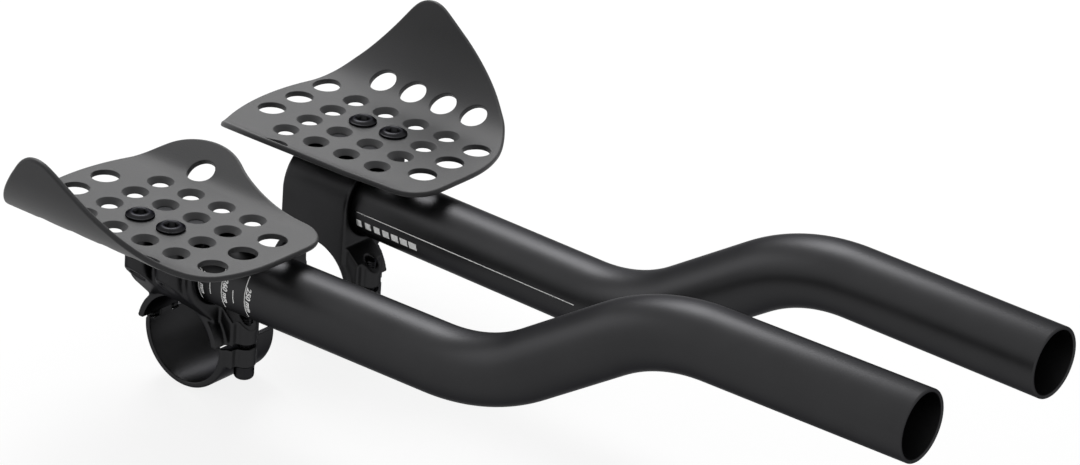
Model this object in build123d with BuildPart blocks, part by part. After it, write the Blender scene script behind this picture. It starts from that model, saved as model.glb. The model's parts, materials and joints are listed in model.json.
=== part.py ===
"""Pair of clip-on aero extensions for a drop handlebar.

Frame: X forward, Y to the rider's left, Z up, millimetres. The origin is on the handlebar axis,
midway between the two clamps. The left unit is modelled, and the right unit is its mirror image,
apart from the tubes, which are each set to their own reach.
"""
import os
from math import asin, cos, degrees, radians, sin, tan

from build123d import *

# Handlebar clamp
bar_diameter = 31.8
saddle_wall = 2.3
saddle_width = 18.6
rim_proud = 2.0
rim_recess = 1.6
split_height = 2.5
split_gap = 1.5

# Tube: a straight grip, two bends that lift it, and a straight front
tube_diameter = 23.8
tube_wall = 1.3
tube_rise = 42.5
bend_radius = 69.0
bend_angle = 33.5
bend_to_tip = 127.5
tip_rounding = 0.5

# Place of the tubes over the handlebar, and how far each is drawn in from its full reach
tube_height = 30.5
tube_offset = 39.0
toe_in = 1.3
full_reach = 277.0
grip_length = 26.0
left_drawn_in = 0.0
right_drawn_in = 5.0

# Collar round the tube, with its pinch slit
collar_length = 29.0
collar_wall = 3.55
collar_rounding = 0.8
slide_clearance = 0.05
mouth_chamfer = 0.9
slit_height = 5.0
slit_width = 1.8
seat_relief = 0.25

# Screws of the armrest, M5 with a low countersunk head, and their bosses
screw_diameter = 5.0
screw_length = 20.0
screw_head_diameter = 9.9
screw_head_height = 1.9
screw_rim_height = 0.7
screw_seat_clearance = 0.1
screw_key = 4.0
screw_key_depth = 2.1
screw_pitch = 13.9
screw_outboard = 17.4
boss_wall = 2.1
boss_slope = 45.0

# Bolt of the cap, M4 with a socket head
bolt_diameter = 4.0
bolt_length = 18.0
bolt_head_diameter = 7.0
bolt_head_height = 5.0
bolt_head_rounding = 1.6
bolt_key = 3.0
bolt_key_depth = 2.2
bolt_from_bar = 4.3
ear_wall = 1.95
ear_web = 14.0
ear_depth = 7.1
ear_slope = 42.0
ear_to_tube = 1.3

# Crescent cut out of the ears' webs beside the bore
crescent_width = 2.9
crescent_depth = 3.5
crescent_start = 14.0
crescent_sweep = 28.0

# Cap and its hinge
cap_wall = 2.3
cap_width = 16.8
cap_inboard = 9.0
cap_rounding = 1.2
pin_diameter = 2.5
pin_from_bar = 2.4
knuckle_wall = 1.2
knuckle_clearance = 0.35
hinge_width = 12.0
tongue_width = 6.0
tongue_clearance = 0.2

# Fits
thread_clearance = 0.05
passing_clearance = 0.25
pin_clearance = 0.03

# Armrest plate: flat in the middle, an outer wing and a low inner lobe
plate_thickness = 2.0
plate_front = 47.3
plate_rear = 46.6
flat_outboard = 13.4
flat_inboard = 31.6
front_sweep_inboard = 6.4
front_sweep_angle = 55.0
front_sweep_radius = 50.0
front_corner_radius = 12.0
rear_sweep_inboard = 5.4
rear_sweep_angle = 31.0
rear_sweep_radius = 80.0
rear_corner_rounding = 4.0
wing_radius = 30.0
wing_sweep = 80.0
wing_height = 37.7
wing_peak_back = 15.4
wing_peak_rounding = 10.0
wing_foot_front = 29.9
wing_foot_rear = 37.6
wing_foot_height = 8.0
wing_foot_rounding = 40.0
wing_flare_front = 18.2
wing_flare_rear = 9.5
wing_trim_outboard = 15.4
lobe_radius = 15.0
lobe_slope = 30.0
lobe_to_middle = 7.3
lobe_back = 17.3
lobe_half_length = 16.1
lobe_bow = 4.9
lobe_blend = 15.0
inner_edge = 21.0
inner_edge_run = 2.5
inner_edge_bow = 1.6

# Holes of the plate
hole_columns = 4
hole_rows = 4
row_pitch = 12.35
countersink_diameter = 9.2
countersink_angle = 90.0
big_hole_diameter = 9.8
big_hole_count = 3
big_hole_pitch = 14.5
front_holes_along = 35.6
front_holes_outboard = 10.9
rear_holes_along = 36.6
rear_holes_outboard = 14.6
wing_hole_angle = 28.6
lobe_hole_back = 14.7
lobe_hole_to_middle = 17.5

# Radii and places that follow from the sizes above
bar_radius = bar_diameter / 2
saddle_radius = bar_radius + saddle_wall
cap_radius = bar_radius + cap_wall
tube_radius = tube_diameter / 2
collar_radius = tube_radius + collar_wall
half_collar = collar_length / 2
boss_radius = screw_diameter / 2 + boss_wall
ear_radius = bolt_diameter / 2 + ear_wall
knuckle_radius = pin_diameter / 2 + knuckle_wall
inner_face = tube_offset - collar_radius
outer_face = inner_face + saddle_width
rim_face = outer_face + rim_proud
cap_face = inner_face + cap_width
clamp_middle = inner_face + cap_width / 2
body_split = split_height + split_gap / 2
cap_split = split_height - split_gap / 2
seat_height = tube_height + collar_radius + seat_relief
plate_top = seat_height + plate_thickness
screw_side = tube_offset + screw_outboard
bolt_forward = bar_radius + bolt_from_bar
hinge_back = bar_radius + pin_from_bar
crescent_radius = saddle_radius + crescent_width / 2
ear_top = tube_height - tube_radius - ear_to_tube
ear_bottom = cap_split - ear_depth
slope_rise = tan(radians(boss_slope))
slope_top = tube_height + screw_outboard * slope_rise - collar_radius / cos(radians(boss_slope))
slope_foot = slope_top - (screw_side - outer_face) * slope_rise
far = 2 * (collar_radius + saddle_radius + screw_outboard)


def tube_plane(side: int) -> Plane:
    """Upright plane through a tube's axis, X along the tube and Y up."""
    turn = radians(toe_in)
    return Plane(
        origin=(0, side * tube_offset, tube_height),
        x_dir=(cos(turn), -side * sin(turn), 0),
        z_dir=(-side * sin(turn), -cos(turn), 0),
    )


def side_plane(y: float) -> Plane:
    """Upright plane across the handlebar, X forward and Y up; solids grow from it towards -Y."""
    return Plane.XZ.offset(-y)


# Extension tubes, each swept along its own centre line
bend_rise = 2 * bend_radius * (1 - cos(radians(bend_angle)))
slant_length = (tube_rise - bend_rise) / sin(radians(bend_angle))
bend_run = bend_radius * sin(radians(bend_angle)) + slant_length / 2 * cos(radians(bend_angle))
tubes = {}
for name, side, drawn_in in (("left", 1, left_drawn_in), ("right", -1, right_drawn_in)):
    tip = half_collar + full_reach - drawn_in
    with BuildPart() as extension_tube:
        with BuildLine(tube_plane(side)) as centre_line:
            grip = Line((tip - full_reach - grip_length, 0), (tip - bend_to_tip - bend_run, 0))
            lower_bend = JernArc(grip @ 1, grip % 1, bend_radius, bend_angle)
            slant = Line(lower_bend @ 1, lower_bend @ 1 + lower_bend % 1 * slant_length)
            upper_bend = JernArc(slant @ 1, slant % 1, bend_radius, -bend_angle)
            Line(upper_bend @ 1, (tip, tube_rise))
        path = centre_line.wires()[0]
        with BuildSketch(Plane(origin=path @ 0, z_dir=path % 0)):
            Circle(tube_radius)
            Circle(tube_radius - tube_wall, mode=Mode.SUBTRACT)
        sweep(path=path)
        rims = extension_tube.faces().filter_by(GeomType.PLANE)
        fillet(rims.edges(), min(tip_rounding, tube_wall * 0.45))
    tubes[name] = extension_tube.part

# Clamp body: collar above, saddle below, bosses outboard, bolt ear in front, hinge cheeks behind
with BuildPart() as clamp_body:
    with BuildSketch(Plane.YZ.offset(-half_collar)):
        with Locations((tube_offset, tube_height)):
            Circle(collar_radius)
        with BuildLine():
            slope_touch = tube_offset + collar_radius * sin(radians(boss_slope))
            Polyline(
                (inner_face, tube_height),
                (inner_face, body_split),
                (outer_face, body_split),
                (outer_face, slope_foot),
                (slope_touch, slope_foot + (slope_touch - outer_face) * slope_rise),
                (tube_offset, tube_height),
                close=True,
            )
        make_face()
    extrude(amount=collar_length)
    ends = clamp_body.faces().filter_by(Axis.X)
    fillet(ends.edges().filter_by(GeomType.CIRCLE), collar_rounding)
    # Saddle wall over the handlebar
    with BuildSketch(side_plane(outer_face)):
        Circle(saddle_radius)
        with Locations((0, -far / 2 + body_split)):
            Rectangle(far, far, mode=Mode.SUBTRACT)
    extrude(amount=saddle_width)
    # Screw bosses, cut off along the slope that touches the collar
    with BuildSketch(Plane.XY.offset(seat_height)):
        for x in (-screw_pitch / 2, screw_pitch / 2):
            with Locations((x, screw_side - screw_outboard / 2)):
                Rectangle(2 * boss_radius, screw_outboard)
            with Locations((x, screw_side)):
                Circle(boss_radius)
    extrude(amount=slope_foot - seat_height)
    with BuildSketch(Plane.YZ.offset(-half_collar)):
        with BuildLine():
            Polyline(
                (outer_face, slope_foot),
                (outer_face + far, slope_foot + far * slope_rise),
                (outer_face + far, slope_foot),
                close=True,
            )
        make_face()
    extrude(amount=collar_length, mode=Mode.SUBTRACT)
    # Raised rim of the handlebar bore
    with BuildSketch(side_plane(rim_face)):
        Circle(saddle_radius)
        with Locations((0, -far / 2 + body_split)):
            Rectangle(far, far, mode=Mode.SUBTRACT)
    extrude(amount=rim_proud)
    with BuildSketch(side_plane(rim_face)):
        Circle(bar_radius + rim_recess)
    extrude(amount=-far, mode=Mode.SUBTRACT)
    # Bolt ear in front, a round boss on a web, with a sloped top under the tube
    with BuildSketch(Plane.XY.offset(body_split)):
        with Locations((bolt_forward, clamp_middle)):
            Circle(ear_radius)
        with Locations((bolt_forward / 2, clamp_middle)):
            Rectangle(bolt_forward, ear_web)
    extrude(amount=ear_top - body_split)
    with BuildSketch(side_plane(outer_face)):
        with BuildLine():
            Polyline(
                (half_collar, ear_top),
                (half_collar + far, ear_top),
                (half_collar + far, ear_top - far * tan(radians(ear_slope))),
                close=True,
            )
        make_face()
    extrude(amount=saddle_width, mode=Mode.SUBTRACT)
    with BuildSketch(side_plane(clamp_middle + ear_web / 2)):
        middle = CenterArc((0, 0), crescent_radius, crescent_start, crescent_sweep, mode=Mode.PRIVATE)
        SlotArc(middle, crescent_width)
    extrude(amount=crescent_depth, mode=Mode.SUBTRACT)
    # Hinge cheeks behind, each side of the cap's tongue
    for face in (clamp_middle + hinge_width / 2, clamp_middle - tongue_width / 2 - tongue_clearance):
        with BuildSketch(side_plane(face)):
            with Locations((-hinge_back, split_height)):
                Circle(knuckle_radius)
            with Locations((-hinge_back / 2, body_split + (knuckle_radius - split_gap / 2) / 2)):
                Rectangle(hinge_back, knuckle_radius - split_gap / 2)
        extrude(amount=(hinge_width - tongue_width) / 2 - tongue_clearance)
    with BuildSketch(side_plane(clamp_middle + tongue_width / 2 + tongue_clearance)):
        with Locations((-hinge_back, split_height)):
            Circle(knuckle_radius + knuckle_clearance)
    extrude(amount=tongue_width + 2 * tongue_clearance, mode=Mode.SUBTRACT)
    # Bores for the handlebar, the hinge pin, the tube, the screws and the bolt
    with BuildSketch(side_plane(rim_face)):
        Circle(bar_radius)
        with Locations((-hinge_back, split_height)):
            Circle(pin_diameter / 2 + pin_clearance)
    extrude(amount=rim_face - inner_face, mode=Mode.SUBTRACT)
    along_tube = tube_plane(1)
    with BuildSketch(Plane(origin=along_tube.origin, z_dir=along_tube.x_dir)):
        Circle(tube_radius + slide_clearance)
    extrude(amount=collar_length, both=True, mode=Mode.SUBTRACT)
    with BuildSketch(Plane.YZ.offset(-half_collar)):
        with Locations((tube_offset + far / 2, tube_height + slit_height)):
            Rectangle(far, slit_width)
    extrude(amount=collar_length, mode=Mode.SUBTRACT)
    with BuildSketch(Plane.XY.offset(seat_height)):
        with Locations((-screw_pitch / 2, screw_side), (screw_pitch / 2, screw_side)):
            Circle(screw_diameter / 2 + thread_clearance)
    extrude(amount=slope_foot - seat_height, mode=Mode.SUBTRACT)
    with BuildSketch(Plane.XY.offset(body_split)):
        with Locations((bolt_forward, clamp_middle)):
            Circle(bolt_diameter / 2 + thread_clearance)
    extrude(amount=ear_top - body_split, mode=Mode.SUBTRACT)
    mouths = clamp_body.faces().filter_by(Axis.X).edges().filter_by(GeomType.ELLIPSE)
    chamfer(mouths, mouth_chamfer)

# Cap: lower half of the bore, bolt ear in front and hinge tongue behind
with BuildPart() as handlebar_cap:
    with BuildSketch(side_plane(cap_face)):
        Circle(cap_radius)
        with Locations((0, far / 2 + cap_split)):
            Rectangle(far, far, mode=Mode.SUBTRACT)
    extrude(amount=cap_width + cap_inboard)
    skirts = handlebar_cap.faces().filter_by(Axis.Y).edges().filter_by(GeomType.CIRCLE)
    fillet(skirts, cap_rounding)
    with BuildSketch(Plane.XY.offset(cap_split)):
        with Locations((bolt_forward, clamp_middle)):
            Circle(ear_radius)
        with Locations((bolt_forward / 2, clamp_middle)):
            Rectangle(bolt_forward, ear_web)
    extrude(amount=-ear_depth)
    with BuildSketch(side_plane(clamp_middle + ear_web / 2)):
        middle = CenterArc((0, 0), crescent_radius, -crescent_start, -crescent_sweep, mode=Mode.PRIVATE)
        SlotArc(middle, crescent_width)
    extrude(amount=crescent_depth, mode=Mode.SUBTRACT)
    for y in (clamp_middle + hinge_width / 2 + tongue_clearance, clamp_middle - tongue_width / 2):
        with BuildSketch(side_plane(y)):
            with Locations((-hinge_back, split_height)):
                Circle(knuckle_radius + knuckle_clearance)
        extrude(amount=(hinge_width - tongue_width) / 2 + tongue_clearance, mode=Mode.SUBTRACT)
    with BuildSketch(side_plane(clamp_middle + tongue_width / 2)):
        with Locations((-hinge_back, split_height)):
            Circle(knuckle_radius)
        with Locations((-hinge_back / 2, cap_split - (knuckle_radius - split_gap / 2) / 2)):
            Rectangle(hinge_back, knuckle_radius - split_gap / 2)
    extrude(amount=tongue_width)
    with BuildSketch(side_plane(cap_face)):
        Circle(bar_radius)
        with Locations((-hinge_back, split_height)):
            Circle(pin_diameter / 2 + pin_clearance)
    extrude(amount=cap_width + cap_inboard, mode=Mode.SUBTRACT)
    with BuildSketch(Plane.XY.offset(cap_split)):
        with Locations((bolt_forward, clamp_middle)):
            Circle(bolt_diameter / 2 + passing_clearance)
    extrude(amount=-ear_depth, mode=Mode.SUBTRACT)
    with BuildSketch(Plane.XY.offset(ear_bottom)):
        with Locations((bolt_forward, clamp_middle)):
            Circle(bolt_head_diameter / 2 + passing_clearance)
    extrude(amount=-far, mode=Mode.SUBTRACT)

# Hinge pin, flush with the cheeks
with BuildPart() as cap_hinge_pin:
    with BuildSketch(side_plane(clamp_middle + hinge_width / 2)):
        with Locations((-hinge_back, split_height)):
            Circle(pin_diameter / 2)
    extrude(amount=hinge_width)

# Cap bolt, up through the cap's ear into the body
with BuildPart() as cap_bolt:
    with BuildSketch(Plane.XY.offset(ear_bottom)):
        with Locations((bolt_forward, clamp_middle)):
            Circle(bolt_head_diameter / 2)
    extrude(amount=-bolt_head_height)
    head_end = cap_bolt.faces().sort_by(Axis.Z)[0]
    fillet(head_end.edges(), bolt_head_rounding)
    with BuildSketch(Plane.XY.offset(ear_bottom - bolt_head_height)):
        with Locations((bolt_forward, clamp_middle)):
            RegularPolygon(bolt_key / 2, 6, major_radius=False)
    extrude(amount=bolt_key_depth, mode=Mode.SUBTRACT)
    with BuildSketch(Plane.XY.offset(ear_bottom)):
        with Locations((bolt_forward, clamp_middle)):
            Circle(bolt_diameter / 2)
    extrude(amount=bolt_length)

# Armrest screws, down through the plate into the bosses
dome_height = screw_head_height - screw_rim_height
dome_radius = (screw_head_diameter**2 / 4 + dome_height**2) / (2 * dome_height)
dome_angle = degrees(asin(screw_head_diameter / 2 / dome_radius))
seat_radius = countersink_diameter / 2 - screw_seat_clearance
seat_depth = (seat_radius - screw_diameter / 2) / tan(radians(countersink_angle / 2))
screws = {}
for name, x in (("rear", -screw_pitch / 2), ("front", screw_pitch / 2)):
    with BuildPart() as armrest_screw:
        with BuildSketch(side_plane(screw_side)):
            with BuildLine():
                dome = CenterArc((x, plate_top + screw_head_height - dome_radius), dome_radius,
                                 90 - dome_angle, dome_angle)
                Polyline(
                    dome @ 1,
                    (x, plate_top - seat_depth),
                    (x + screw_diameter / 2, plate_top - seat_depth),
                    (x + seat_radius, plate_top),
                    (x + screw_head_diameter / 2, plate_top),
                    dome @ 0,
                )
            make_face()
        revolve(axis=Axis((x, screw_side, 0), (0, 0, 1)))
        with BuildSketch(Plane.XY.offset(plate_top + screw_head_height)):
            with Locations((x, screw_side)):
                RegularPolygon(screw_key / 2, 6, major_radius=False)
        extrude(amount=-screw_key_depth, mode=Mode.SUBTRACT)
        with BuildSketch(Plane.XY.offset(plate_top)):
            with Locations((x, screw_side)):
                Circle(screw_diameter / 2)
        extrude(amount=-screw_length)
    screws[name] = armrest_screw.part

# Armrest plate: a bent section along the tube, trimmed in plan and then along its wing
flat_outer = screw_side + flat_outboard
flat_inner = screw_side - flat_inboard
outermost = flat_outer + wing_radius + wing_height
rear_middle = screw_side - rear_sweep_inboard
rear_turn = degrees(asin((rear_middle - inner_edge) / rear_sweep_radius))
with BuildPart() as armrest_plate:
    with BuildSketch(Plane.YZ.offset(-plate_rear)):
        with BuildLine():
            flat = Line((flat_inner, seat_height), (flat_outer, seat_height))
            wing = JernArc(flat @ 1, flat % 1, wing_radius, wing_sweep)
            Line(wing @ 1, wing @ 1 + wing % 1 * wing_height)
            lobe = JernArc(flat @ 0, -(flat % 0), lobe_radius, -lobe_slope)
            Line(lobe @ 1, lobe @ 1 + lobe % 1 * flat_inner)
            offset(amount=plate_thickness, side=Side.LEFT)
        make_face()
    extrude(amount=plate_rear + plate_front)
    # Outline seen from above
    with BuildSketch(Plane.XY.offset(seat_height)) as outline:
        with BuildLine():
            front_corner_start = (plate_front - front_corner_radius, inner_edge)
            front_corner = JernArc(front_corner_start, (1, 0), front_corner_radius, 90)
            front_edge = Line(front_corner @ 1, (plate_front, screw_side - front_sweep_inboard))
            front_sweep = JernArc(front_edge @ 1, front_edge % 1, front_sweep_radius, front_sweep_angle)
            front_end = front_sweep @ 1 + front_sweep % 1 * wing_height
            rear_sweep = CenterArc(
                (rear_sweep_radius - plate_rear, rear_middle),
                rear_sweep_radius,
                180 - rear_sweep_angle,
                rear_sweep_angle + rear_turn,
            )
            rear_end = rear_sweep @ 0 - rear_sweep % 0 * wing_height
            Polyline(front_sweep @ 1, front_end, rear_end, rear_sweep @ 0)
            rear_inner = rear_sweep @ 1
            lobe_side = lobe_to_middle + lobe_bow
            lobe_rear = (-lobe_back - lobe_half_length, lobe_side)
            lobe_front = (lobe_half_length - lobe_back, lobe_side)
            Line(rear_inner, lobe_rear)
            ThreePointArc(lobe_rear, (-lobe_back, lobe_to_middle), lobe_front)
            edge_end = Vector(front_corner_start[0] - inner_edge_run, inner_edge)
            edge_middle = (edge_end + Vector(*lobe_front)) / 2 + Vector(0, inner_edge_bow)
            ThreePointArc(lobe_front, edge_middle, edge_end)
            Line(edge_end, front_corner_start)
        make_face()
        fillet(outline.vertices().sort_by_distance(rear_inner)[0], rear_corner_rounding)
        for corner in (lobe_rear, lobe_front):
            fillet(outline.vertices().sort_by_distance(corner)[0], lobe_blend)
    extrude(amount=far, both=True, mode=Mode.INTERSECT)
    # Outline of the wing seen from the side
    with BuildSketch(side_plane(outermost)) as wing_trim:
        with BuildLine():
            foot = seat_height + wing_foot_height
            rear_foot = (-wing_foot_rear, foot)
            front_foot = (wing_foot_front, foot)
            peak = (-wing_peak_back, seat_height + wing_height)
            top = foot + outermost
            Polyline(
                (-far, seat_height),
                (-wing_foot_rear - wing_flare_rear, seat_height),
                rear_foot,
                peak,
                front_foot,
                (wing_foot_front + wing_flare_front, seat_height),
                (far, seat_height),
                (far, top),
                (-far, top),
                close=True,
            )
        make_face()
        fillet(wing_trim.vertices().sort_by_distance(peak)[0], wing_peak_rounding)
        for corner in (rear_foot, front_foot):
            fillet(wing_trim.vertices().sort_by_distance(corner)[0], wing_foot_rounding)
    extrude(amount=outermost - screw_side - wing_trim_outboard, mode=Mode.SUBTRACT)
    # Grid of countersunk holes, large holes fore and aft, on the wing and on the lobe
    columns = [(i - (hole_columns - 1) / 2) * screw_pitch for i in range(hole_columns)]
    rows = [screw_side + row_pitch * (1 - j) for j in range(hole_rows)]
    with Locations(*[(x, y, plate_top) for x in columns for y in rows]):
        CounterSinkHole(
            screw_diameter / 2 + passing_clearance,
            countersink_diameter / 2,
            plate_thickness,
            countersink_angle,
        )
    with BuildSketch(Plane.XY.offset(plate_top)):
        for along, outboard in (
            (front_holes_along, front_holes_outboard),
            (-rear_holes_along, rear_holes_outboard),
        ):
            with Locations(*[(along, screw_side + outboard - i * big_hole_pitch) for i in range(big_hole_count)]):
                Circle(big_hole_diameter / 2)
    extrude(amount=-plate_thickness, mode=Mode.SUBTRACT)
    turn = radians(wing_hole_angle)
    wing_point = (0, flat_outer + wing_radius * sin(turn), seat_height + wing_radius * (1 - cos(turn)))
    with BuildSketch(Plane(origin=wing_point, x_dir=(1, 0, 0), z_dir=(0, -sin(turn), cos(turn)))):
        with Locations(*[(x, 0) for x in columns]):
            Circle(big_hole_diameter / 2)
    extrude(amount=wing_radius / 2, both=True, mode=Mode.SUBTRACT)
    turn = radians(lobe_slope)
    lobe_rise = (flat_inner - lobe_hole_to_middle) * tan(turn) / 2
    lobe_point = (-lobe_hole_back, lobe_hole_to_middle, seat_height + lobe_rise)
    with BuildSketch(Plane(origin=lobe_point, x_dir=(1, 0, 0), z_dir=(0, sin(turn), cos(turn)))):
        Circle(big_hole_diameter / 2)
    extrude(amount=lobe_radius / 2, both=True, mode=Mode.SUBTRACT)

# Left pieces as modelled, and the right ones mirrored
left_pieces = {
    "clamp_body": clamp_body.part,
    "handlebar_cap": handlebar_cap.part,
    "cap_hinge_pin": cap_hinge_pin.part,
    "cap_bolt": cap_bolt.part,
    "armrest_plate": armrest_plate.part,
    "armrest_screw_rear": screws["rear"],
    "armrest_screw_front": screws["front"],
}
os.makedirs("parts", exist_ok=True)
for side, tube in tubes.items():
    tube.label = f"{side}_extension_tube"
    export_step(tube, f"parts/{side}_extension_tube.step")
for name, piece in left_pieces.items():
    piece.label = f"left_{name}"
    export_step(piece, f"parts/left_{name}.step")
    with BuildPart() as right_piece:
        mirror(piece, about=Plane.XZ)
    right_piece.part.label = f"right_{name}"
    export_step(right_piece.part, f"parts/right_{name}.step")
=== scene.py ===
"""Dress a pair of clip-on aero handlebar extensions and set them in a white studio."""

import json
import logging
from collections.abc import Iterable
from dataclasses import dataclass
from enum import Enum
from functools import cached_property
from math import atan2, cos, dist, floor, hypot, pi, radians, sin, tan, tau

import bmesh
import bpy
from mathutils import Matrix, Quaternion, Vector
from mathutils.geometry import delaunay_2d_cdt
from mathutils.kdtree import KDTree


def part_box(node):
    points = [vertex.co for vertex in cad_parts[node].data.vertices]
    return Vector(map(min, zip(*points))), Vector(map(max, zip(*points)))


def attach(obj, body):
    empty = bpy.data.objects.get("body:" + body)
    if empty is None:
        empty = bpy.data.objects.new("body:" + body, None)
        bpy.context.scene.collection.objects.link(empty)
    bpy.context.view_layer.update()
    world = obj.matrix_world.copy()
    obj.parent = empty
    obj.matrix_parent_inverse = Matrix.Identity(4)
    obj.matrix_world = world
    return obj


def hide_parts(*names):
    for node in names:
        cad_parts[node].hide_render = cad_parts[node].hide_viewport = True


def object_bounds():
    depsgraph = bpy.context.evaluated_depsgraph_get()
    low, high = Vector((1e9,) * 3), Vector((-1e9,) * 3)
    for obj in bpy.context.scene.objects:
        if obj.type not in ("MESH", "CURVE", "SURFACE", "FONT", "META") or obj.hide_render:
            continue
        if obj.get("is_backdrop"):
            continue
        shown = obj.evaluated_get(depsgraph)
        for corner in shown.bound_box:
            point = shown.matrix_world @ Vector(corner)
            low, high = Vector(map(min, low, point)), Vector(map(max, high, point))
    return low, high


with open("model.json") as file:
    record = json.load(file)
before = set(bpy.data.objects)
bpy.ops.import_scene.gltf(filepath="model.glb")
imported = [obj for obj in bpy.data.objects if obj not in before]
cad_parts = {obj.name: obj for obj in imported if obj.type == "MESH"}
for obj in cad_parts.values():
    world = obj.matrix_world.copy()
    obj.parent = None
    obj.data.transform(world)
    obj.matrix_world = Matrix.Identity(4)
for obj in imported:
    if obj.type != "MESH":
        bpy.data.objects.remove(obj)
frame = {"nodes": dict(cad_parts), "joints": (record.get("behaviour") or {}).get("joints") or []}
CAD_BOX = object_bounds()
MM = 0.001
# Points closer than this are one point
WELD = 0.002 * MM
LOG = logging.getLogger("aero_extensions")

Socket = bpy.types.NodeSocket
Piece = bpy.types.Object
Loop = list[Vector]
Flat = tuple[float, float]
Station = tuple[float, float, float]


class Side(Enum):
    """The rider's two sides, with the sign of their Y coordinates."""

    LEFT = 1
    RIGHT = -1

    @property
    def word(self) -> str:
        """Lower-case word that starts the names of this side's pieces."""
        return self.name.lower()


class Body(Enum):
    """Rigid bodies of the frame that pieces ride on."""

    CLAMPS = "clamps"
    LEFT_TUBE = "left_tube"
    RIGHT_TUBE = "right_tube"

    @classmethod
    def tube(cls, side: Side) -> "Body":
        """Body of one side's extension tube."""
        return cls.LEFT_TUBE if side is Side.LEFT else cls.RIGHT_TUBE


class Ends(Enum):
    """What becomes of the first and the last loop of a skin."""

    JOINED = "joined to each other"
    CAPPED = "closed by a face each"
    OPEN = "left open"


def linear(colour: str) -> tuple[float, float, float, float]:
    """Turn an sRGB hex colour into linear light.

    Args:
        colour: Six hex digits, with or without a leading hash.

    Returns:
        Linear red, green and blue, and an alpha of one.
    """
    digits = colour.lstrip("#")
    levels = [int(digits[i : i + 2], 16) / 255 for i in (0, 2, 4)]
    red, green, blue = [v / 12.92 if v <= 0.04045 else ((v + 0.055) / 1.055) ** 2.4 for v in levels]
    return red, green, blue, 1.0


def add_node(tree: bpy.types.NodeTree, kind: str, sockets: dict | None = None, **settings) -> bpy.types.Node:
    """Add a shader node, set its properties and fill its sockets.

    Args:
        tree: Node tree that takes the node.
        kind: Blender's name of the node type.
        sockets: Input name or number, and the value or the output socket that feeds it.
        **settings: Properties of the node itself.

    Returns:
        The new node.
    """
    made = tree.nodes.new(kind)
    for name, value in settings.items():
        setattr(made, name, value)
    for key, value in (sockets or {}).items():
        if isinstance(value, Socket):
            tree.links.new(value, made.inputs[key])
        else:
            made.inputs[key].default_value = value
    return made


def add_noise(tree: bpy.types.NodeTree, place: Socket, size: float, detail: float) -> Socket:
    """Add a noise pattern.

    Args:
        tree: Node tree that takes it.
        place: Coordinates in metres.
        size: Size of its features in metres.
        detail: Number of finer layers on top.

    Returns:
        Output socket that carries values from zero to one.
    """
    sockets = {"Vector": place, "Scale": 1 / size, "Detail": detail}
    return add_node(tree, "ShaderNodeTexNoise", sockets).outputs["Fac"]


def new_material(name: str) -> tuple[bpy.types.Material, bpy.types.Node]:
    """Start a material.

    Args:
        name: Its name.

    Returns:
        The material and its shader node.
    """
    made = bpy.data.materials.new(name)
    made.use_nodes = True
    return made, made.node_tree.nodes["Principled BSDF"]


def add_object(name: str, data: bpy.types.ID) -> Piece:
    """Put a mesh, text, light or lens into the scene.

    Args:
        name: Name of the object.
        data: What it is made of.

    Returns:
        The object.
    """
    made = bpy.data.objects.new(name, data)
    bpy.context.scene.collection.objects.link(made)
    return made


@dataclass(frozen=True)
class Finish:
    """A finish with clouded colour, uneven gloss and a fine relief.

    Attributes:
        name: Material and how its surface was made.
        slot: Record's material slot that it belongs to; not used.
        dark: Colour of most of the surface.
        light: Colour of its paler clouds.
        cloud: Size of the clouds in metres.
        grain: Size of the relief's grain in metres.
        depth: Height of the relief in metres.
        gloss: Lowest and highest roughness.
        metallic: One for a metal, zero for plastic and ink.
        ior: Index of refraction, or none where the shader's own holds, as it does for metals.
        specular: Strength of the mirror-like share of the light.
        edge: Tint of the mirror-like share where the surface is seen edge on.
    """

    name: str
    slot: str
    dark: str
    light: str
    cloud: float
    grain: float
    depth: float
    gloss: tuple[float, float]
    metallic: float = 0.0
    ior: float | None = None
    specular: float = 0.5
    edge: str = "#ffffff"

    def relief(self, tree: bpy.types.NodeTree, place: Socket) -> Socket:
        """Height of the surface's grain.

        Args:
            tree: Material's node tree.
            place: Coordinates in metres.

        Returns:
            Output socket that carries heights from zero to one.
        """
        return add_noise(tree, place, self.grain, 2.0)

    def material(self) -> bpy.types.Material:
        """Make the finish's material, or hand back the one made before.

        Returns:
            The material.
        """
        ready = bpy.data.materials.get(self.name)
        if ready:
            return ready
        made, shader = new_material(self.name)
        tree = made.node_tree
        if self.ior:
            shader.inputs["IOR"].default_value = self.ior
        shader.inputs["Metallic"].default_value = self.metallic
        shader.inputs["Specular IOR Level"].default_value = self.specular
        shader.inputs["Specular Tint"].default_value = linear(self.edge)
        place = add_node(tree, "ShaderNodeTexCoord").outputs["Object"]
        clouds = add_noise(tree, place, self.cloud, 3.0)
        tint = add_node(tree, "ShaderNodeMix", {"Factor": clouds}, data_type="RGBA")
        tint.inputs["A"].default_value = linear(self.dark)
        tint.inputs["B"].default_value = linear(self.light)
        tree.links.new(tint.outputs["Result"], shader.inputs["Base Color"])
        ends = {"Value": clouds, "To Min": self.gloss[0], "To Max": self.gloss[1]}
        sheen = add_node(tree, "ShaderNodeMapRange", ends)
        tree.links.new(sheen.outputs["Result"], shader.inputs["Roughness"])
        bump = add_node(tree, "ShaderNodeBump", {"Height": self.relief(tree, place), "Distance": self.depth})
        tree.links.new(bump.outputs["Normal"], shader.inputs["Normal"])
        return made


@dataclass(frozen=True)
class SparkGrain(Finish):
    """A moulded skin whose mould was spark eroded: round pits crowd a smooth ground."""

    def relief(self, tree: bpy.types.NodeTree, place: Socket) -> Socket:
        """Height of the pits.

        Args:
            tree: Material's node tree.
            place: Coordinates in metres.

        Returns:
            Output socket that carries heights from zero to one.
        """
        pits = add_node(tree, "ShaderNodeTexVoronoi", {"Vector": place, "Scale": 1 / self.grain})
        return pits.outputs["Distance"]


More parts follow.
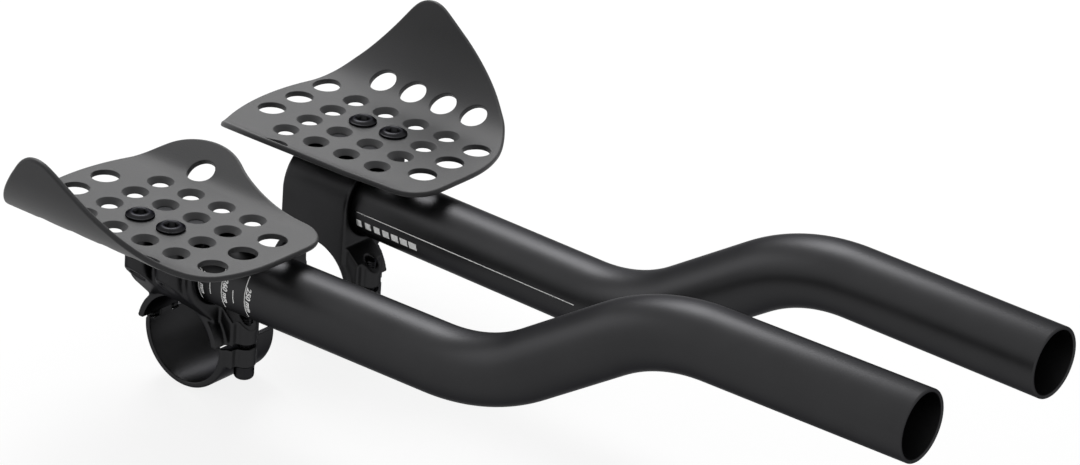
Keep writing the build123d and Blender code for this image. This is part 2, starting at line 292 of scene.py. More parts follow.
# Drawn tube, bead blasted and dyed black: a satin skin without direction, soft broad highlights
TUBE_ANODISED = Finish(
    name="aluminium_tube_bead_blasted_black_anodised",
    slot="tube_aluminium",
    dark="#333334",
    light="#39393a",
    cloud=14 * MM,
    # Blast pits are near 0.1 mm; drawn three times as wide so that they show
    grain=0.3 * MM,
    depth=0.012 * MM,
    gloss=(0.36, 0.44),
    metallic=1.0,
    edge="#aaaaab",
)
# Forging, tumbled and dyed black: a little smoother than the tube, with a faint hammered swell
CLAMP_ANODISED = Finish(
    name="aluminium_forging_tumbled_black_anodised",
    slot="clamp_aluminium",
    dark="#2d2d2e",
    light="#343435",
    cloud=9 * MM,
    grain=0.9 * MM,
    depth=0.02 * MM,
    gloss=(0.33, 0.42),
    metallic=1.0,
    edge="#aaaaab",
)
# Glass-filled nylon moulded in a spark-eroded tool: dull dark grey, edges catch the light
ARMREST_NYLON = SparkGrain(
    name="nylon_glass_filled_moulded_fine_grain",
    slot="armrest_plastic",
    dark="#333334",
    light="#39393a",
    cloud=22 * MM,
    # The tool's grain is near 0.15 mm; drawn three times as wide so that it shows
    grain=0.45 * MM,
    depth=0.02 * MM,
    gloss=(0.44, 0.52),
    ior=1.53,
    specular=0.15,
)
# Alloy steel in hot black oxide: nearly black, oily gloss that picks out the edges
SCREW_STEEL = Finish(
    name="alloy_steel_black_oxide_oiled",
    slot="fastener_steel",
    dark="#222223",
    light="#2b2b2d",
    cloud=3 * MM,
    grain=0.25 * MM,
    depth=0.006 * MM,
    gloss=(0.24, 0.34),
    metallic=1.0,
    edge="#aaaaab",
)
# Screen printed two-part ink: an even, slightly chalky white film
MARKING_INK = Finish(
    name="epoxy_ink_screen_printed_white",
    slot="tube_aluminium",
    dark="#f0f0ef",
    light="#f8f8f7",
    cloud=1.5 * MM,
    grain=0.25 * MM,
    depth=0.004 * MM,
    gloss=(0.5, 0.6),
    ior=1.5,
)


def add_piece(name: str, shell: bmesh.types.BMesh, body: Body, finish: Finish) -> Piece:
    """Turn a mesh under construction into a finished piece that rides on a body.

    Args:
        name: Name of the piece.
        shell: Mesh in the frame's metres, which is freed here.
        body: Body that carries the piece.
        finish: Its finish.

    Returns:
        The piece.
    """
    bmesh.ops.recalc_face_normals(shell, faces=shell.faces)
    for face in shell.faces:
        face.smooth = True
    mesh = bpy.data.meshes.new(name)
    shell.to_mesh(mesh)
    shell.free()
    mesh.materials.append(finish.material())
    piece = add_object(name, mesh)
    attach(piece, body.value)
    return piece


def skin_loops(shell: bmesh.types.BMesh, loops: Iterable[Loop], ends: Ends) -> None:
    """Join loops of equally many points by quads.

    Args:
        shell: Mesh that takes the points and faces.
        loops: The loops, in order.
        ends: What becomes of the first and the last loop.
    """
    rows = [[shell.verts.new(point) for point in loop] for loop in loops]
    following = rows[1:] + (rows[:1] if ends is Ends.JOINED else [])
    for row, after in zip(rows, following):
        for i, corner in enumerate(row):
            j = (i + 1) % len(row)
            shell.faces.new((corner, row[j], after[j], after[i]))
    if ends is Ends.CAPPED:
        shell.faces.new(rows[0])
        shell.faces.new(rows[-1])


def quarter(steps: int) -> list[float]:
    """Angles from zero to a quarter turn in even steps."""
    return [pi / 2 * i / steps for i in range(steps + 1)]


def circle(count: int) -> list[float]:
    """Angles of evenly spaced points round a circle."""
    return [tau * i / count for i in range(count)]


def corners(outline: list[Flat]) -> Iterable[tuple[Flat, Flat, Flat]]:
    """Each point of a closed outline, between the one before it and the one after it."""
    return zip(outline[-1:] + outline[:-1], outline, outline[1:] + outline[:1])


def paint(piece: Piece, finish: Finish) -> None:
    """Give a CAD node one finish in all its material slots."""
    piece.data.materials.clear()
    piece.data.materials.append(finish.material())


def soften(piece: Piece, pitch: float, passes: int) -> None:
    """Round a CAD node's edges as forging, tumbling or moulding leaves them.

    Args:
        piece: The node, whose own mesh stays as it is.
        pitch: Size of the even mesh that the rounding works on.
        passes: Smoothing passes; each one widens the rounding.
    """
    weld = piece.modifiers.new("joined_faces", "WELD")
    weld.merge_threshold = pitch / 100
    even = piece.modifiers.new("even_mesh", "REMESH")
    even.mode = "VOXEL"
    even.voxel_size = pitch
    even.use_smooth_shade = True
    rounding = piece.modifiers.new("rounded_edges", "SMOOTH")
    rounding.factor = 0.5
    rounding.iterations = passes


@dataclass
class ExtensionTube:
    """One S-bent tube with rounded rims, open from end to end.

    Attributes:
        side: Side of the pair.
        finish: Finish of the whole tube.
        diameter: Outside diameter.
        wall: Wall thickness.
        bend_radius: Radius of both bends on the tube's axis.
        bend_angle: Turn of each bend.
        bend_to_tip: From the middle of the S to the front rim.
        rim_rounding: Radius of the rims' edges.
        facets: Points round the tube.
        bend_rings: Rings in each bend.
        rim_steps: Steps round each rim edge.
    """

    side: Side
    finish: Finish = TUBE_ANODISED
    diameter: float = 23.8 * MM
    wall: float = 1.3 * MM
    bend_radius: float = 69 * MM
    bend_angle: float = radians(33.5)
    bend_to_tip: float = 127.5 * MM
    rim_rounding: float = 0.5 * MM
    facets: int = 128
    bend_rings: int = 28
    rim_steps: int = 4

    @property
    def node(self) -> str:
        """Name of the CAD node that the tube stands for."""
        return f"{self.side.word}_extension_tube"

    @property
    def radius(self) -> float:
        """Outside radius."""
        return self.diameter / 2

    @cached_property
    def axis(self) -> Vector:
        """Direction of the straight ends, towards the tip."""
        body = Body.tube(self.side).value
        return Vector(next(joint["axis"] for joint in frame["joints"] if joint["child"] == body))

    @cached_property
    def rear(self) -> Vector:
        """Centre of the rear rim.

        Returns:
            The point in the frame.
        """
        low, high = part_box(self.node)
        reach = self.radius * abs(self.axis.y)
        outer = high.y if self.side is Side.LEFT else low.y
        y = outer - self.side.value * self.radius * self.axis.x
        return Vector((low.x + reach, y, low.z + self.radius))

    @cached_property
    def length(self) -> float:
        """From rim to rim along the straight ends."""
        low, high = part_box(self.node)
        return (high.x - low.x - self.diameter * abs(self.axis.y)) / self.axis.x

    def stations(self) -> list[Station]:
        """Places along the tube's middle line.

        Returns:
            Distance along the axis, height over the rear end and slope of each ring.
        """
        low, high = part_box(self.node)
        rise = high.z - low.z - self.diameter
        r, turn = self.bend_radius, self.bend_angle
        ramp = (rise - 2 * r * (1 - cos(turn))) / tan(turn)
        half_run = r * sin(turn) + ramp / 2
        middle = self.length - self.bend_to_tip
        start, end = middle - half_run, middle + half_run
        steps = [turn * i / self.bend_rings for i in range(self.bend_rings + 1)]
        lower = [(start + r * sin(t), r * (1 - cos(t)), t) for t in steps]
        upper = [(end - r * sin(t), rise - r * (1 - cos(t)), t) for t in reversed(steps)]
        rim = self.rim_rounding
        return [(rim, 0.0, 0.0), *lower, *upper, (self.length - rim, rise, 0.0)]

    def ring(self, station: Station, radius: float, ahead: float = 0.0) -> Loop:
        """Circle of points square to the tube.

        Args:
            station: Distance, height and slope on the middle line.
            radius: Radius of the circle.
            ahead: Shift along the tube's direction there.

        Returns:
            The points in order.
        """
        along, height, slope = station
        up = Vector((0, 0, 1))
        forward = self.axis * cos(slope) + up * sin(slope)
        normal = up * cos(slope) - self.axis * sin(slope)
        across = up.cross(self.axis)
        centre = self.rear + self.axis * along + up * height + forward * ahead
        turns = circle(self.facets)
        return [centre + across * (radius * cos(t)) + normal * (radius * sin(t)) for t in turns]

    def rim(self, station: Station, direction: int) -> list[Loop]:
        """Rounded rim from the outside to the inside of the wall.

        Args:
            station: Last ring of the full wall.
            direction: One at the front end, minus one at the rear.

        Returns:
            Loops round the rim, without the first and last ring of the walls.
        """
        r = self.rim_rounding
        loops = []
        for centre, start in ((self.radius - r, 0.0), (self.radius - self.wall + r, pi / 2)):
            for i in range(self.rim_steps + 1):
                t = start + pi / 2 * i / self.rim_steps
                loops.append(self.ring(station, centre + r * cos(t), direction * r * sin(t)))
        return loops[1:-1]

    def build(self) -> Piece:
        """Make the tube and let it stand for its CAD node.

        Returns:
            The tube.
        """
        stations = self.stations()
        bore = self.radius - self.wall
        outside = [self.ring(s, self.radius) for s in stations]
        inside = [self.ring(s, bore) for s in reversed(stations)]
        rear_rim = list(reversed(self.rim(stations[0], -1)))
        shell = bmesh.new()
        skin_loops(shell, [*outside, *self.rim(stations[-1], 1), *inside, *rear_rim], Ends.JOINED)
        piece = add_piece(f"{self.side.word}_tube", shell, Body.tube(self.side), self.finish)
        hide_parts(self.node)
        return piece


@dataclass
class InkFilm:
    """Print that is laid out flat and then wrapped round a tube's straight rear end.

    In the flat, x runs along the tube from the rear rim and y round it, upwards on the side that
    faces the rider's right.

    Attributes:
        tube: Tube that carries the print.
        finish: The ink.
        thickness: Thickness of the dry film.
        bite: How far the film's underside sits in the tube's skin.
        cut: Spacing of the cuts that let the flat print bend.
    """

    tube: ExtensionTube
    finish: Finish = MARKING_INK
    thickness: float = 0.02 * MM
    bite: float = 0.02 * MM
    cut: float = 0.4 * MM

    def __post_init__(self) -> None:
        """Start an empty print."""
        self.flat = bmesh.new()

    def bar(self, x: float, y: float, width: float, height: float) -> None:
        """Add a rectangle.

        Args:
            x: Its rear edge.
            y: Its lower edge.
            width: Its size along the tube.
            height: Its size round the tube.
        """
        ends = ((x, y), (x + width, y), (x + width, y + height), (x, y + height))
        self.flat.faces.new([self.flat.verts.new((*end, 0)) for end in ends])

    def words(self, text: str, x: float, y: float, height: float, weight: float, slant: float) -> None:
        """Add a line of text that reads downwards, with its letters' tops to the front.

        Args:
            text: The text.
            x: Its baseline.
            y: Its upper end.
            height: Size of its letters.
            weight: How far the strokes are thickened.
            slant: Shear of the letters.
        """
        curve = bpy.data.curves.new("text", "FONT")
        curve.body = text
        curve.size = height
        curve.offset = weight
        curve.shear = slant
        curve.resolution_u = 3
        holder = add_object("text", curve)
        bpy.context.view_layer.update()
        mesh = bpy.data.meshes.new_from_object(holder.evaluated_get(bpy.context.evaluated_depsgraph_get()))
        for vertex in mesh.vertices:
            across, up = vertex.co.x, vertex.co.y
            vertex.co = (x + up, y - across, 0)
        self.flat.from_mesh(mesh)
        bpy.data.objects.remove(holder)
        bpy.data.curves.remove(curve)
        bpy.data.meshes.remove(mesh)

    def build(self, name: str) -> Piece:
        """Wrap the print round its tube.

        Args:
            name: Name of the piece.

        Returns:
            The print.
        """
        flat = self.flat
        bmesh.ops.remove_doubles(flat, verts=flat.verts, dist=WELD)
        reach = [v.co.y for v in flat.verts]
        for i in range(floor(min(reach) / self.cut) + 1, floor(max(reach) / self.cut) + 1):
            everything = [*flat.verts, *flat.edges, *flat.faces]
            bmesh.ops.bisect_plane(flat, geom=everything, plane_co=(0, i * self.cut, 0), plane_no=(0, 1, 0))
        raised = bmesh.ops.extrude_face_region(flat, geom=flat.faces[:])["geom"]
        for element in raised:
            if isinstance(element, bmesh.types.BMVert):
                element.co.z = self.thickness + self.bite
        axis, up = self.tube.axis, Vector((0, 0, 1))
        outward = axis.cross(up)
        for vertex in flat.verts:
            along, turn, height = vertex.co.x, vertex.co.y / self.tube.radius, vertex.co.z
            radial = outward * cos(turn) + up * sin(turn)
            vertex.co = self.tube.rear + axis * along + radial * (self.tube.radius - self.bite + height)
        return add_piece(name, flat, Body.tube(self.tube.side), self.finish)


@dataclass
class ReachScale:
    """Length scale on the right tube: a ring and a number every centimetre, a tick between them.

    Attributes:
        tube: Tube that carries the scale.
        rings: Reaches that have a ring and a number, in millimetres.
        ticks: Reaches that have a tick.
        zero: From the tip back to the scale's zero.
        ring_turns: Lower and upper end of a ring, in radians from level.
        tick_turns: Lower and upper end of a tick.
        stroke: Line width of rings and ticks.
        letter: Size of the letters.
        weight: How far the letters' strokes are thickened.
        slant: Shear of the letters.
        text_start: Upper end of the text, in radians from level.
        gap: From a ring to the letters' baseline.
    """

    tube: ExtensionTube
    rings: tuple[int, ...] = (250, 260, 270)
    ticks: tuple[int, ...] = (255, 265)
    zero: float = 2 * MM
    ring_turns: tuple[float, float] = (radians(-40), radians(38))
    tick_turns: tuple[float, float] = (radians(-18), radians(6))
    stroke: float = 0.3 * MM
    letter: float = 2.75 * MM
    weight: float = 0.1 * MM
    slant: float = 0.25
    text_start: float = radians(20)
    gap: float = 0.55 * MM

    def place(self, reach: int) -> float:
        """Where a reach lies, from the tube's rear rim."""
        return self.tube.length - self.zero - reach * MM

    def build(self) -> Piece:
        """Print the scale.

        Returns:
            The print.
        """
        film = InkFilm(self.tube)
        r = self.tube.radius
        for reaches, (low, high) in ((self.rings, self.ring_turns), (self.ticks, self.tick_turns)):
            for reach in reaches:
                film.bar(self.place(reach) - self.stroke / 2, low * r, self.stroke, (high - low) * r)
        for reach in self.rings:
            baseline = self.place(reach) + self.gap
            film.words(f"{reach} mm", baseline, self.text_start * r, self.letter, self.weight, self.slant)
        return film.build(f"{self.tube.side.word}_reach_scale")


@dataclass
class ToneStripe:
    """Thin line and a row of squares on the left tube, starting at the collar.

    Attributes:
        tube: Tube that carries the print.
        start: From the rear rim to the first square.
        line_turn: Place of the line, in radians from level.
        line_width: Width of the line.
        line_length: Length of the line.
        squares: Number of squares.
        square_turns: Lower and upper edge of the squares.
        pitch: Spacing of the squares.
        first: Width of the rearmost square.
        last: Width of the foremost square.
    """

    tube: ExtensionTube
    start: float = 28.6 * MM
    line_turn: float = radians(3)
    line_width: float = 0.3 * MM
    line_length: float = 97 * MM
    squares: int = 7
    square_turns: tuple[float, float] = (radians(-23), radians(-9.5))
    pitch: float = 3.98 * MM
    first: float = 2.3 * MM
    last: float = 3.5 * MM

    def build(self) -> Piece:
        """Print the stripe.

        Returns:
            The print.
        """
        film = InkFilm(self.tube)
        r = self.tube.radius
        film.bar(self.start, self.line_turn * r, self.line_length, self.line_width)
        low, high = self.square_turns
        for i in range(self.squares):
            width = self.first + (self.last - self.first) * i / (self.squares - 1)
            film.bar(self.start + i * self.pitch, low * r, width, (high - low) * r)
        return film.build(f"{self.tube.side.word}_tone_stripe")


@dataclass
class SocketScrew:
    """A hex socket screw turned as one piece, with a cut thread.

    Attributes:
        node: CAD node that it stands for.
        key: Width across the socket's flats.
        socket_depth: Depth of the socket below the head's top.
        head: Head's outline from the socket's mouth to the shank, as radius and depth below the top.
        shank: Thread's outside diameter.
        pitch: Thread pitch.
        fluted: Depths between which grip flutes run round the head, or none.
        flutes: Number of flutes.
        flute_depth: Depth of the flutes.
        upward: One where the head is on top, minus one where it hangs.
        finish: Finish of the screw.
        mouth: Radius of the socket's mouth, in key widths.
        lead: Width of the narrow facets that keep the socket's edges crisp.
        socket_floor: Size of the socket's floor against its walls.
        drill_point: Radius and depth of the cone's tip below that floor, in key widths.
        thread_depth: Depth of the thread, in pitches.
        end_chamfer: Depth of the chamfer at the thread's end, in pitches.
        facets: Points round the screw.
        thread_steps: Loops in each turn of the thread.
    """

    node: str
    key: float
    socket_depth: float
    head: tuple[Flat, ...]
    shank: float
    pitch: float
    fluted: Flat | None = None
    flutes: int = 36
    flute_depth: float = 0.1 * MM
    upward: int = 1
    finish: Finish = SCREW_STEEL
    mouth: float = 0.62
    lead: float = 0.04 * MM
    socket_floor: float = 0.98
    drill_point: Flat = (0.02, 0.15)
    thread_depth: float = 0.54
    end_chamfer: float = 0.8
    facets: int = 96
    thread_steps: int = 8

    def hexagon(self, turn: float) -> float:
        """Distance from the axis to the socket's wall at an angle round it."""
        return self.key / 2 / cos((turn + pi / 6) % (pi / 3) - pi / 6)

    def thread(self, along: float, turn: float) -> float:
        """Radius of the thread's surface at a place along the axis and an angle round it."""
        phase = (along / self.pitch - turn / tau) % 1.0
        return self.shank / 2 - self.thread_depth * self.pitch * (1 - abs(2 * phase - 1))

    def side(self, depth: float, radius: float, turn: float) -> float:
        """Radius of the head's side, with its flutes.

        Args:
            depth: Depth below the head's top.
            radius: Radius without flutes.
            turn: Angle round the axis.

        Returns:
            The radius there.
        """
        if not self.fluted or not self.fluted[0] < depth < self.fluted[1]:
            return radius
        return radius - self.flute_depth * (0.5 - 0.5 * cos(turn * self.flutes))

    def build(self) -> Piece:
        """Turn the screw and let it stand for its CAD node.

        Returns:
            The screw.
        """
        low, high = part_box(self.node)
        centre = (low + high) / 2
        top = high.z if self.upward > 0 else low.z
        turns = circle(self.facets)
        six = [self.hexagon(t) for t in turns]
        mouth, bottom = self.key * self.mouth, self.socket_depth
        tip, deeper = [self.key * share for share in self.drill_point]
        rings = [
            (bottom + deeper, [tip] * self.facets),
            (bottom, [r * self.socket_floor for r in six]),
            (bottom - self.lead, six),
            (mouth - self.key / 2, six),
            (self.lead, [mouth] * self.facets),
        ]
        rings += [(depth, [self.side(depth, radius, t) for t in turns]) for radius, depth in self.head]
        start = self.head[-1][1]
        length = high.z - low.z - start - self.pitch / 2
        steps = int(length / self.pitch * self.thread_steps)
        for i in range(steps + 1):
            along = length * i / steps
            rings.append((start + along, [self.thread(along, t) for t in turns]))
        end = self.shank / 2 - self.end_chamfer * self.pitch
        rings.append((start + length + self.pitch / 2, [end] * self.facets))
        loops = []
        for depth, radii in rings:
            x, y, z = centre.x, centre.y, top - self.upward * depth
            loops.append([Vector((x + r * cos(t), y + r * sin(t), z)) for r, t in zip(radii, turns)])
        shell = bmesh.new()
        skin_loops(shell, loops, Ends.CAPPED)
        piece = add_piece(f"{self.node}_turned", shell, Body.CLAMPS, self.finish)
        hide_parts(self.node)
        return piece


@dataclass
class ClampUnit:
    """One side's clamp: forged body, hinged cap, hinge pin and bolt.

    Attributes:
        side: Side of the pair.
        forging: Finish of body and cap.
        steel: Finish of the pin.
        mesh: Mesh size for rounding the forgings' edges.
        passes: Smoothing passes.
        head: Radius and length of the bolt's head.
        nose: Radius of the rounding at the head's end.
        nose_steps: Steps round it.
        seat_edge: Chamfer at the head's seat.
        flute_margins: From the flutes to the head's end and to its seat.
        run_out: Half the length over which the flutes end.
        key: Width across the flats of the bolt's socket.
        socket_depth: Depth of that socket.
        shank: Outside diameter of the bolt's thread.
        pitch: Pitch of that thread.
    """

    side: Side
    forging: Finish = CLAMP_ANODISED
    steel: Finish = SCREW_STEEL
    mesh: float = 0.42 * MM
    passes: int = 5
    head: Flat = (3.5 * MM, 5 * MM)
    nose: float = 1.6 * MM
    nose_steps: int = 8
    seat_edge: float = 0.12 * MM
    flute_margins: Flat = (2.15 * MM, 0.65 * MM)
    run_out: float = 0.05 * MM
    key: float = 3 * MM
    socket_depth: float = 2.2 * MM
    shank: float = 4 * MM
    pitch: float = 0.7 * MM

    def bolt(self) -> Piece:
        """Turn the bolt, whose head hangs below the cap.

        Returns:
            The bolt.
        """
        radius, length = self.head
        fluted = (self.flute_margins[0], length - self.flute_margins[1])
        turns = quarter(self.nose_steps)
        nose = [(radius - self.nose * (1 - sin(t)), self.nose * (1 - cos(t))) for t in turns]
        ends = [(radius, depth + shift) for depth in fluted for shift in (-self.run_out, self.run_out)]
        seat = [(radius, length - self.seat_edge), (radius - self.seat_edge, length)]
        screw = SocketScrew(
            node=f"{self.side.word}_cap_bolt",
            key=self.key,
            socket_depth=self.socket_depth,
            head=(*nose, *ends, *seat),
            shank=self.shank,
            pitch=self.pitch,
            fluted=fluted,
            upward=-1,
        )
        return screw.build()

    def dress(self) -> list[Piece]:
        """Finish the clamp's nodes and make its bolt.

        Returns:
            The pieces.
        """
        pieces = []
        for part in ("clamp_body", "handlebar_cap"):
            node = frame["nodes"][f"{self.side.word}_{part}"]
            soften(node, self.mesh, self.passes)
            paint(node, self.forging)
            pieces.append(node)
        pin = frame["nodes"][f"{self.side.word}_cap_hinge_pin"]
        paint(pin, self.steel)
        return [*pieces, pin, self.bolt()]


@dataclass(frozen=True)
class PlateHole:
    """A hole of the armrest plate, laid out flat.

    Attributes:
        x: Place along the plate.
        v: Place across it.
        radius: Radius in the top skin.
        profile: Wall from the top skin to the underside, as change of radius and height over the top.
        points: Points round the hole.
    """

    x: float
    v: float
    radius: float
    profile: tuple[Flat, ...]
    points: int = 48

    def ring(self, wider: float) -> list[Flat]:
        """Points on a circle round the hole's middle, wider than the hole by an amount."""
        r = self.radius + wider
        return [(self.x + r * cos(t), self.v + r * sin(t)) for t in circle(self.points)]

    def holds(self, spot: Flat, margin: float) -> bool:
        """True where a spot is inside the hole widened by a margin."""
        return hypot(spot[0] - self.x, spot[1] - self.v) < self.radius + margin


@dataclass
class ArmrestPlate:
    """One side's plate, moulded anew over its CAD node with rounded rims and hole edges.

    The plate is laid out flat, x forward and v outboard along the top skin, and then bent: up along
    the outer wing and the inner lobe. The outline and the holes are those of the CAD node.

    Attributes:
        side: Side of the pair.
        finish: Finish of the plate.
        thickness: Thickness of the plate.
        flat_inner: Inner end of its flat middle, from the object's middle.
        flat_outer: Outer end of its flat middle.
        wing_radius: Radius of the top skin in the wing's bend.
        wing_sweep: Turn of that bend.
        lobe_radius: Radius of the top skin in the lobe's bend.
        lobe_sweep: Turn of that bend.
        rim_rounding: Radius of the rim's edges.
        hole_rounding: Radius of the plain holes' edges.
        sink_radius: Largest top radius of a countersunk hole.
        sink_bore: Its radius at the bottom.
        sink_lip: Size of its edges' rounding.
        sink_drop: Drop halfway round its upper edge.
        sink_band: Flat strip between that edge and the skin's mesh.
        edge_band: Flat strip between any other rounded edge and the skin's mesh.
        spacing: Spacing of the points along the rim.
        mesh: Spacing of the points on the skins.
        room: Room without such points beside rim and holes, in spacings.
        level: Upward part of the normal from which a face counts as level.
        near: How close to the top skin a level face lies in it.
        crease: Sharpest turn inside the top skin.
        bent: Width over length below which the bend hides a part of a hole.
    """

    side: Side
    finish: Finish = ARMREST_NYLON
    thickness: float = 2 * MM
    flat_inner: float = 24.8 * MM
    flat_outer: float = 69.8 * MM
    wing_radius: float = 28 * MM
    wing_sweep: float = radians(80)
    lobe_radius: float = 13 * MM
    lobe_sweep: float = radians(30)
    rim_rounding: float = 0.75 * MM
    hole_rounding: float = 0.25 * MM
    sink_radius: float = 4.75 * MM
    sink_bore: float = 2.75 * MM
    sink_lip: float = 0.1 * MM
    sink_drop: float = 0.04 * MM
    sink_band: float = 0.35 * MM
    edge_band: float = 0.3 * MM
    spacing: float = 0.8 * MM
    mesh: float = 2.2 * MM
    room: float = 0.4
    level: float = 0.99
    near: float = 0.1 * MM
    crease: float = radians(25)
    bent: float = 0.8

    @property
    def node(self) -> str:
        """Name of the CAD node that the plate stands for."""
        return f"{self.side.word}_armrest_plate"

    @cached_property
    def top(self) -> float:
        """Height of the flat middle's top skin."""
        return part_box(self.node)[0].z + self.thickness

    def bends(self) -> tuple[tuple[float, int, float, float], ...]:
        """The bends of the wing and the lobe.

        Returns:
            Start, direction, radius and turn of each.
        """
        wing = (self.flat_outer, 1, self.wing_radius, self.wing_sweep)
        lobe = (self.flat_inner, -1, self.lobe_radius, self.lobe_sweep)
        return wing, lobe

    def fold(self, spot: Flat, height: float) -> Vector:
        """Bend a spot of the flat layout into its place.

        Args:
            spot: Place in the flat layout.
            height: Height over the top skin.

        Returns:
            The point in the frame.
        """
        x, v = spot
        y, z = v, self.top + height
        for start, way, radius, sweep in self.bends():
            beyond = (v - start) * way
            if beyond > 0:
                turn = min(beyond / radius, sweep)
                rest = beyond - turn * radius
                y = start + way * ((radius - height) * sin(turn) + rest * cos(turn))
                z = self.top + radius - (radius - height) * cos(turn) + rest * sin(turn)
        return Vector((x, self.side.value * y, z))

    def unfold(self, point: Vector) -> Flat:
        """Lay a point of the top skin out flat.

        Args:
            point: Point in the frame.

        Returns:
            Its spot in the flat layout.
        """
        v = y = point.y * self.side.value
        for start, way, radius, sweep in self.bends():
            beyond = (y - start) * way
            if beyond > 0:
                turn = min(atan2(beyond, self.top + radius - point.z), sweep)
                across = beyond - radius * sin(turn)
                up = point.z - self.top - radius * (1 - cos(turn))
                v = start + way * (radius * turn + across * cos(turn) + up * sin(turn))
        return point.x, v

    def skin_outlines(self) -> list[list[Flat]]:
        """Outlines of the CAD node's top skin, laid out flat.

        Returns:
            Closed outlines, the plate's own first and its holes' after it.
        """
        shell = bmesh.new()
        shell.from_mesh(frame["nodes"][self.node].data)
        bmesh.ops.remove_doubles(shell, verts=shell.verts, dist=WELD)
        level = [face for face in shell.faces if face.normal.z > self.level]
        flat = [face for face in level if abs(face.calc_center_median().z - self.top) < self.near]
        skin, open_faces = set(flat), list(flat)
        while open_faces:
            for edge in open_faces.pop().edges:
                if len(edge.link_faces) == 2 and edge.calc_face_angle() < self.crease:
                    fresh = [f for f in edge.link_faces if f not in skin]
                    skin.update(fresh)
                    open_faces.extend(fresh)
        border = [e for face in skin for e in face.edges if sum(f in skin for f in e.link_faces) == 1]
        neighbours: dict[bmesh.types.BMVert, list[bmesh.types.BMVert]] = {}
        for edge in border:
            for one, other in (edge.verts, reversed(edge.verts)):
                neighbours.setdefault(one, []).append(other)
        outlines = []
        while neighbours:
            chain = [next(iter(neighbours))]
            while True:
                onward = [v for v in neighbours.pop(chain[-1]) if v in neighbours]
                if not onward:
                    break
                chain.append(onward[0])
            outlines.append([self.unfold(v.co) for v in chain])
        shell.free()
        return sorted(outlines, key=lambda line: min(x for x, _ in line))

    def even(self, outline: list[Flat], passes: int = 12) -> list[Flat]:
        """Space an outline's points evenly and smooth out its facets.

        Args:
            outline: Closed outline.
            passes: Smoothing passes.

        Returns:
            The new outline, anticlockwise.
        """
        closed = [*outline, outline[0]]
        reach = [0.0]
        for a, b in zip(closed, closed[1:]):
            reach.append(reach[-1] + dist(a, b))
        count = int(reach[-1] / self.spacing)
        line, i = [], 0
        for k in range(count):
            goal = reach[-1] * k / count
            while reach[i + 1] < goal:
                i += 1
            share = (goal - reach[i]) / (reach[i + 1] - reach[i])
            line.append(tuple(p + (q - p) * share for p, q in zip(closed[i], closed[i + 1])))
        for _ in range(passes):
            line = [
                ((a[0] + 2 * b[0] + c[0]) / 4, (a[1] + 2 * b[1] + c[1]) / 4)
                for a, b, c in corners(line)
            ]
        area = sum(a[0] * b[1] - b[0] * a[1] for a, b, _ in corners(line))
        return line if area > 0 else line[::-1]

    def inset(self, outline: list[Flat], amount: float) -> list[Flat]:
        """Move an anticlockwise outline inwards.

        Args:
            outline: The outline.
            amount: How far.

        Returns:
            The new outline.
        """
        moved = []
        for a, b, c in corners(outline):
            dx, dv = c[0] - a[0], c[1] - a[1]
            span = hypot(dx, dv)
            moved.append((b[0] - dv / span * amount, b[1] + dx / span * amount))
        return moved

    def round_wall(self, rounding: float, steps: int = 4) -> list[Flat]:
        """Wall with both edges rounded, from the top skin to the underside.

        Args:
            rounding: Radius of the edges.
            steps: Steps round each edge.

        Returns:
            Distance from the wall and height over the top of each line on it.
        """
        upper = [(rounding * (1 - sin(t)), -rounding * (1 - cos(t))) for t in quarter(steps)]
        flat = (rounding + self.edge_band, 0.0)
        half = [flat, *upper]
        return half + [(d, -self.thickness - h) for d, h in reversed(half)]

    def hole(self, outline: list[Flat]) -> PlateHole:
        """Find a hole's middle and size, and settle its wall.

        Args:
            outline: The hole's outline in the top skin.

        Returns:
            The hole.
        """
        xs, vs = [x for x, _ in outline], [v for _, v in outline]
        along, across = max(xs) - min(xs), max(vs) - min(vs)
        radius = (along + across) / 4
        if across < along * self.bent:
            # The skin's bend hides the outer side of this hole, so its inner arc gives its size
            radius = along / 2 if across > along / 2 else (along**2 / 4 + across**2) / (2 * across)
        middle = ((min(xs) + max(xs)) / 2, min(vs) + radius)
        if radius > self.sink_radius:
            return PlateHole(*middle, radius, tuple(self.round_wall(self.hole_rounding)))
        depth, slim = radius - self.sink_bore, self.sink_bore - radius
        band, lip, low = self.sink_band, self.sink_lip, -self.thickness
        wall = (
            (band, 0.0),
            (lip, 0.0),
            (0.0, -self.sink_drop),
            (-lip, -lip),
            (slim + lip, lip - depth),
            (slim, -depth),
            (slim, lip + low),
            (slim + lip, low),
            (slim + band, low),
        )
        return PlateHole(*middle, radius, wall)

    def skin(self, shell: bmesh.types.BMesh, rim: list[Flat], holes: list[PlateHole], upper: bool) -> None:
        """Cover the plate's top or underside between its rim and its holes.

        Args:
            shell: Mesh that takes the skin.
            rim: Edge of the skin.
            holes: The holes.
            upper: True for the top skin.
        """
        end = 0 if upper else -1
        loops = [rim, *[hole.ring(hole.profile[end][0]) for hole in holes]]
        spots, edges = [], []
        for loop in loops:
            first = len(spots)
            edges += [(first + i, first + (i + 1) % len(loop)) for i in range(len(loop))]
            spots += loop
        tree = KDTree(len(spots))
        for i, (x, v) in enumerate(spots):
            tree.insert((x, v, 0), i)
        tree.balance()
        low, high = [[f(values) for values in zip(*rim)] for f in (min, max)]
        counts = [int((b - a) / self.mesh) + 1 for a, b in zip(low, high)]
        xs, vs = [[a + self.mesh * i for i in range(count)] for a, count in zip(low, counts)]
        room = self.mesh * self.room
        spots += [(x, v) for x in xs for v in vs if tree.find((x, v, 0))[2] > room]
        flat = [Vector(spot) / MM for spot in spots]
